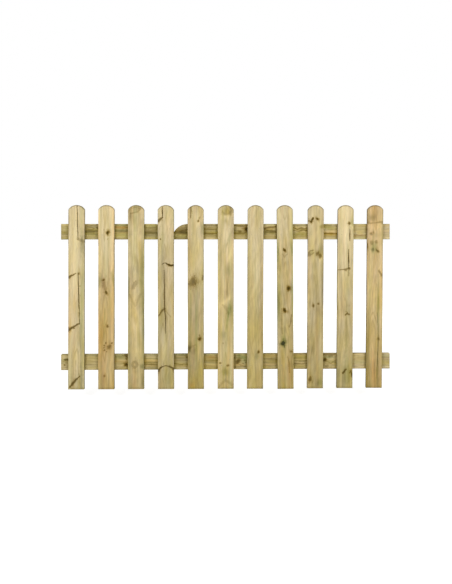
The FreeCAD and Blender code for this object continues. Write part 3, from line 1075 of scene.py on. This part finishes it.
def build_board(board, material, dip=None, pickets=()):
    """Makes the piece that stands for a board's node."""
    lattice = Lattice(board, dip)
    local, faces, skin_count = skin(lattice)
    figure = Figure(board, local)
    # Painted shade on the rail beside each picket's edges
    figure.paint_shade_beside(pickets)
    split = np.zeros(len(local))
    split[:skin_count] = lattice.split.ravel()
    sawn_and_painted_shade = sawn_colour_and_painted_shade(board, lattice, local, skin_count)
    # The sawn wood's colour and the painted shade on the sides and ends, over the board's own
    # tone
    shade = 1 - (1 - figure.tints["dark"]) * (1 - sawn_and_painted_shade)
    soak = figure.tints["soak"] + SAWN_AND_SHADE_SOAK * sawn_and_painted_shade
    piece = make_mesh(f"{board.name}_timber", board.place(local), faces)
    # The tints' shade and the stains also carry painted shade, besides the wood's own tints and
    # stains
    layers = {
        "log": figure.grain(),
        "marks": (figure.level, figure.dark, figure.moss),
        "tints": (figure.tints["green"], figure.tints["warm"], shade),
        "stains_and_shade": (soak, split, np.zeros_like(split)),
    }
    for name, values in layers.items():
        attribute = piece.data.attributes.new(name, "FLOAT_VECTOR", "POINT")
        attribute.data.foreach_set("vector", np.stack(values, -1).astype(np.float32).ravel())
    piece.data.materials.append(material)
    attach(piece, "root")
    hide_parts(board.name)
    return piece


class Graph:
    """Shorthand for the nodes of a material or the world."""

    def __init__(self, owner):
        self.owner = owner
        self.owner.use_nodes = True
        self.tree = self.owner.node_tree
        self.tree.nodes.clear()

    def node(self, kind, inputs=(), **settings):
        """Adds a node; inputs pairs its sockets with other nodes' outputs or plain values."""
        made = self.tree.nodes.new(f"ShaderNode{kind}")
        for key, value in settings.items():
            setattr(made, key, value)
        for key, value in dict(inputs).items():
            if isinstance(value, bpy.types.NodeSocket):
                self.tree.links.new(value, made.inputs[key])
            else:
                made.inputs[key].default_value = value
        return made

    def math(self, operation, *values, clamp=False):
        made = self.node("Math", enumerate(values), operation=operation, use_clamp=clamp)
        return made.outputs[0]

    def vector(self, operation, *values):
        made = self.node("VectorMath", enumerate(values), operation=operation)
        return made.outputs["Value" if operation == "LENGTH" else "Vector"]

    def scaled(self, colour, factor):
        made = self.node("VectorMath", {0: colour, "Scale": factor}, operation="SCALE")
        return made.outputs["Vector"]

    def mix(self, factor, first, second):
        """Blends two colours; a factor above 1 goes past the second.

        6, 7 and 2 are the node's own numbers for its colours.
        """
        inputs = {0: factor, 6: first, 7: second}
        return self.node("Mix", inputs, data_type="RGBA", clamp_factor=False).outputs[2]

    def spread(self, value, low, high, to_low=0.0, to_high=1.0):
        keys = ("Value", "From Min", "From Max", "To Min", "To Max")
        inputs = zip(keys, (value, low, high, to_low, to_high))
        return self.node("MapRange", inputs, interpolation_type="SMOOTHSTEP").outputs["Result"]

    def sway(self, noise, amount, base):
        """A base plus amount times how far a noise lies from a half."""
        return self.math("MULTIPLY_ADD", self.math("SUBTRACT", noise, 0.5), amount, base)

    def noise(self, place, scale, detail=2.0, roughness=0.5):
        place = self.vector("MULTIPLY", place, scale)
        inputs = {"Vector": place, "Scale": 1.0, "Detail": detail, "Roughness": roughness}
        return self.node("TexNoise", inputs).outputs["Fac"]

    def noise_along(self, value, step):
        inputs = {"W": self.math("DIVIDE", value, step), "Scale": 1.0, "Detail": 2.0}
        return self.node("TexNoise", inputs, noise_dimensions="1D").outputs["Fac"]

    def ramp(self, value, stops):
        made = self.node("ValToRGB", {"Fac": value})
        elements = made.color_ramp.elements
        while len(elements) < len(stops):
            elements.new(1.0)
        for element, (place, level) in zip(elements, stops):
            element.position = place
            element.color = (level, level, level, 1)
        return made.outputs["Color"]

    def parts(self, name):
        """The three values of an attribute."""
        read = self.node("Attribute", attribute_name=name).outputs["Vector"]
        return self.node("SeparateXYZ", {0: read}).outputs

    def finish(self, shader, output="OutputMaterial"):
        self.node(output, {"Surface": shader})
        return self.owner


# Colours of treated softwood, as reflected light
EARLYWOOD = (0.700, 0.580, 0.335, 1)
LATEWOOD = (0.480, 0.360, 0.160, 1)
SOAK_TINT = (0.93, 0.90, 0.68)
GREEN_TINT = (0.74, 0.84, 0.66)
WARM_TINT = (1.03, 0.88, 0.76)
HALO_TINT = (0.55, 0.44, 0.17, 1)
MOSS_TINT = (0.45, 0.50, 0.34, 1)
KNOT_RIM = (0.150, 0.095, 0.012, 1)
KNOT_HEART = (0.058, 0.040, 0.003, 1)
KNOT_MOSS = (0.046, 0.046, 0.016, 1)
# Painted shade for the bottom of a split's groove
SPLIT_PAINTED_SHADE = (0.060, 0.038, 0.008, 1)

# The rings: their step, how far they wander, how long like seasons last, and how the late
# wood comes and goes within a year and with the season
RING_STEP = 3.7
RING_WANDER = 5.0
SEASON_STEP = 11.0
YEAR = ((0.0, 0.0), (0.5, 0.15), (0.86, 1.0), (1.0, 0.0))
LATE_SHARE = (0.35, 0.7, 0.22, 0.75)

# How fine the noises are across, into and along the log
WANDER_SCALE = (0.035, 0.035, 0.004)
FIBRE_SCALE = (1.1, 1.1, 0.022)
FLECK_SCALE = (0.30, 0.30, 0.05)
TEETH_SCALE = (0.05, 0.05, 0.55)

# How much each noise lightens the wood, and how much flecks change the stains and knots
FIBRE_LIFT = 0.36
FLECK_LIFT = 0.30
SEASON_LIFT = -0.5
FLECK_SOAK = 0.5
FLECK_GREEN = 0.25
FLECK_KNOT = 0.25

# A knot from its halo in to its heart, as spreads of its level, and the rings in it
HALO = (0.05, 0.62, 0.0, 0.85)
CORE = (0.46, 0.68)
HEART = (0.6, 0.95)
HEART_RINGS = 60.0
HEART_RING_LIFT = 0.12
# Where the painted shade in a split's groove starts and where it is full
IN_SPLIT = (0.25, 0.8)

# The surface: what stands up and how it shines; teeth are the saw's marks on the rails
LATE_HEIGHT = 0.5
FIBRE_HEIGHT = 0.9
TEETH_HEIGHT = 0.5
BUMP = {"Strength": 0.4, "Distance": 0.0004}
TIMBER_SPECULAR = 0.15
TIMBER_ROUGHNESS = (0.86, 0.7)


def timber_material(name, timber, teeth_height=0.0):
    """Softwood with rings and fibres laid out in the log's own space."""
    graph = Graph(bpy.data.materials.new(name))
    log = graph.node("Attribute", attribute_name="log").outputs["Vector"]
    knot_level, knot_dark, moss = graph.parts("marks")
    green, warm, shade = graph.parts("tints")
    soak, split = graph.parts("stains_and_shade")[:2]

    radius = graph.vector("LENGTH", graph.vector("MULTIPLY", log, (1, 1, 0)))
    radius = graph.math("MULTIPLY_ADD", graph.noise(log, WANDER_SCALE), RING_WANDER, radius)
    late = graph.ramp(graph.math("FRACT", graph.math("DIVIDE", radius, RING_STEP)), YEAR)
    season = graph.noise_along(radius, SEASON_STEP)
    fibre = graph.noise(log, FIBRE_SCALE, detail=4, roughness=0.6)
    fleck = graph.noise(log, FLECK_SCALE, detail=3)

    late_share = graph.math("MULTIPLY", late, graph.spread(season, *LATE_SHARE))
    colour = graph.mix(late_share, EARLYWOOD, LATEWOOD)
    lift = graph.sway(fibre, FIBRE_LIFT, 1.0)
    lift = graph.sway(fleck, FLECK_LIFT, lift)
    lift = graph.sway(season, SEASON_LIFT * timber.figure, lift)
    colour = graph.scaled(colour, lift)
    soak = graph.sway(fleck, FLECK_SOAK, soak)
    green = graph.sway(fleck, FLECK_GREEN, green)
    for share, tint in ((soak, SOAK_TINT), (green, GREEN_TINT), (warm, WARM_TINT)):
        tinted = graph.vector("MULTIPLY", colour, tint)
        colour = graph.mix(graph.math("MAXIMUM", share, 0.0), colour, tinted)
    # Darkens by the wood's own tone and by the painted shade that the tints carry
    colour = graph.scaled(colour, graph.math("SUBTRACT", 1.0, shade))

    edge = graph.sway(fleck, FLECK_KNOT, knot_level)
    halo = graph.math("MULTIPLY", graph.spread(edge, *HALO), knot_dark)
    core = graph.math("MULTIPLY", graph.spread(edge, *CORE), knot_dark, clamp=True)
    heart = graph.mix(graph.spread(knot_level, *HEART), KNOT_RIM, KNOT_HEART)
    heart = graph.mix(moss, heart, KNOT_MOSS)
    rings = graph.math("SINE", graph.math("MULTIPLY", knot_level, HEART_RINGS))
    heart = graph.scaled(heart, graph.math("MULTIPLY_ADD", rings, HEART_RING_LIFT, 1.0))
    halo_tint = graph.mix(moss, HALO_TINT, MOSS_TINT)
    colour = graph.mix(halo, colour, graph.vector("MULTIPLY", colour, halo_tint))
    colour = graph.mix(core, colour, heart)
    # Painted shade along the bottom of each split's groove
    colour = graph.mix(graph.spread(split, *IN_SPLIT), colour, SPLIT_PAINTED_SHADE)

    height = graph.math("MULTIPLY", fibre, FIBRE_HEIGHT)
    height = graph.math("MULTIPLY_ADD", late, LATE_HEIGHT, height)
    if teeth_height:
        height = graph.math("MULTIPLY_ADD", graph.noise(log, TEETH_SCALE), teeth_height, height)
    shader = graph.node("BsdfPrincipled", {
        "Specular IOR Level": TIMBER_SPECULAR,
        "Base Color": colour,
        "Roughness": graph.spread(late, 0, 1, *TIMBER_ROUGHNESS),
        "Normal": graph.node("Bump", {**BUMP, "Height": height}).outputs["Normal"],
    })
    return graph.finish(shader.outputs["BSDF"])


# Nail heads: their size, their places at a crossing, and the rings of one head, each with its
# share of the radius and of the dome's height
NAIL_RADIUS = 1.6
NAIL_DOME = 0.35
NAIL_SPREAD = 22.0
NAIL_STAGGER = 16.0
NAIL_SIDES = 14
NAIL_RINGS = ((0.6, 0.8), (1.0, 0.2), (1.0, -2.0))

# Their zinc: the size of its bloom, the two colours, how metallic it is, and how rough
ZINC_SCALE = (900, 900, 900)
ZINC_COLOURS = ((0.30, 0.27, 0.20, 1), (0.46, 0.42, 0.32, 1))
ZINC_METALLIC = 0.7
ZINC_ROUGHNESS = (0.2, 0.8, 0.45, 0.7)


def nail_material():
    """Galvanised steel gone dull."""
    graph = Graph(bpy.data.materials.new("nail_zinc"))
    bloom = graph.noise(graph.node("TexCoord").outputs["Object"], ZINC_SCALE, detail=3)
    shader = graph.node("BsdfPrincipled", {
        "Metallic": ZINC_METALLIC,
        "Base Color": graph.mix(bloom, *ZINC_COLOURS),
        "Roughness": graph.spread(bloom, *ZINC_ROUGHNESS),
    })
    return graph.finish(shader.outputs["BSDF"])


def nail_head():
    """One domed head's points round its centre on the board's face, and its faces."""
    turns = np.arange(NAIL_SIDES) * tau / NAIL_SIDES
    points = [np.array([(0, 0, -NAIL_DOME)])]
    for reach, lift in NAIL_RINGS:
        rim = NAIL_RADIUS * reach
        height = np.full(NAIL_SIDES, -NAIL_DOME * lift)
        points.append(np.stack((rim * np.cos(turns), rim * np.sin(turns), height), -1))
    step = 1 + np.arange(NAIL_SIDES)
    after = np.roll(step, -1)
    faces = [(0 * step, step, after)]
    for inner in range(0, NAIL_SIDES * (len(NAIL_RINGS) - 1), NAIL_SIDES):
        outer = inner + NAIL_SIDES
        faces.append((step + inner, step + outer, after + outer))
        faces.append((step + inner, after + outer, after + inner))
    return np.concatenate(points), np.transpose(faces, (2, 0, 1)).reshape(-1, 3)


def build_nails(pickets, rails, material):
    """The pins that hold the pickets: two through each crossing, their heads as one mesh."""
    head, head_faces = nail_head()
    points = []
    for picket, rail, side in product(pickets, rails, (-1, 1)):
        height = rail.start[2] + side * NAIL_STAGGER - picket.start[2]
        along = height / picket.axes[0, 2]
        points.append(picket.place(head + (along, side * NAIL_SPREAD, 0.0)))
    faces = [head_faces + number * len(head) for number in range(len(points))]
    piece = make_mesh("nail_heads", np.concatenate(points), np.concatenate(faces))
    piece.data.materials.append(material)
    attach(piece, "root")
    return piece


# The stage: the floor under the feet, the white that it fades to, and the surround
FLOOR_DROP = 0.05
FLOOR_SIZE = 40.0
FLOOR_COLOUR = (0.45, 0.45, 0.45, 1)
FLOOR_GLOW = (0.78, 1.0)
FLOOR_FADE = (1.2, 5.0)
WORLD_LIGHT = 0.28
WHITE = (1, 1, 1, 1)

# The lamps: name, place, aim, size and power
SOFTBOXES = (
    ("left_key", (-2.0, -2.9, 2.9), (-0.1, 0, 0.5), (1.2, 1.6), 76),
    ("right_key", (2.0, -2.9, 2.9), (0.1, 0, 0.5), (1.2, 1.6), 76),
    ("rear", (0.6, 3.4, 1.8), (0, 0, 0.4), (2.4, 1.6), 60),
)


def seen_directly(graph):
    """1 for rays from the camera, a gloss or a clear surface."""
    path = graph.node("LightPath")
    seen = graph.math("MAXIMUM", path.outputs["Is Camera Ray"], path.outputs["Is Glossy Ray"])
    return graph.math("MAXIMUM", seen, path.outputs["Is Transmission Ray"])


def build_floor(level):
    """A pale floor that fades to white away from the object and keeps its shadow."""
    graph = Graph(bpy.data.materials.new("pale_floor"))
    away = graph.vector("LENGTH", graph.node("TexCoord").outputs["Object"])
    glow = graph.spread(away, *FLOOR_FADE, *FLOOR_GLOW)
    strength = graph.math("MULTIPLY", glow, seen_directly(graph))
    both = graph.node("AddShader", {
        0: graph.node("BsdfDiffuse", {"Color": FLOOR_COLOUR}).outputs["BSDF"],
        1: graph.node("Emission", {"Strength": strength}).outputs["Emission"],
    })
    half = FLOOR_SIZE / 2
    corners = np.array([(-half, -half, 0), (half, -half, 0), (half, half, 0), (-half, half, 0)])
    floor = make_mesh("floor", corners, np.array([(0, 1, 2, 3)]))
    floor.location = (0, 0, level)
    floor.data.materials.append(graph.finish(both.outputs["Shader"]))


def build_world():
    """An even white surround, plain white where it is seen."""
    world = bpy.data.worlds.new("studio")
    graph = Graph(world)
    strength = graph.spread(seen_directly(graph), 0, 1, WORLD_LIGHT, 1.0)
    background = graph.node("Background", {"Color": WHITE, "Strength": strength})
    graph.finish(background.outputs["Background"], "OutputWorld")
    bpy.context.scene.world = world


def add_softbox(name, place, target, size, power):
    data = bpy.data.lights.new(name, "AREA")
    data.shape = "RECTANGLE"
    data.size, data.size_y = size
    data.energy = power
    lamp = in_scene(name, data)
    lamp.location = place
    lamp.rotation_euler = (Vector(target) - Vector(place)).to_track_quat("-Z", "Y").to_euler()


def build_camera():
    data = bpy.data.cameras.new("camera")
    data.sensor_width = SENSOR
    data.lens = FOCAL_PIXELS * SENSOR / LONG_SIDE
    data.shift_x = (IMAGE_WIDTH / 2 - AIM_COLUMN) / LONG_SIDE
    data.shift_y = (HORIZON_ROW - IMAGE_HEIGHT / 2) / LONG_SIDE
    camera = in_scene("camera", data)
    camera.location = CAMERA_PLACE
    camera.rotation_euler = (pi / 2, 0, CAMERA_TURN)
    bpy.context.scene.camera = camera


build_camera()
build_world()
build_floor(cad_low.z - FLOOR_DROP)
for softbox in SOFTBOXES:
    add_softbox(*softbox)
bpy.context.scene.view_settings.view_transform = "Standard"

picket_boards = [picket_board(name) for name in PICKETS]
rail_boards = [rail_board(name) for name in RAILS]
for board in picket_boards:
    finish = timber_material(f"{board.name}_pine", board.timber)
    build_board(board, finish)
for board in rail_boards:
    finish = timber_material(f"{board.name}_pine", board.timber, TEETH_HEIGHT)
    dip = wane_profile(board.name) if board.name == "top_rail" else np.zeros_like
    build_board(board, finish, dip, picket_boards)
build_nails(picket_boards, rail_boards, nail_material())
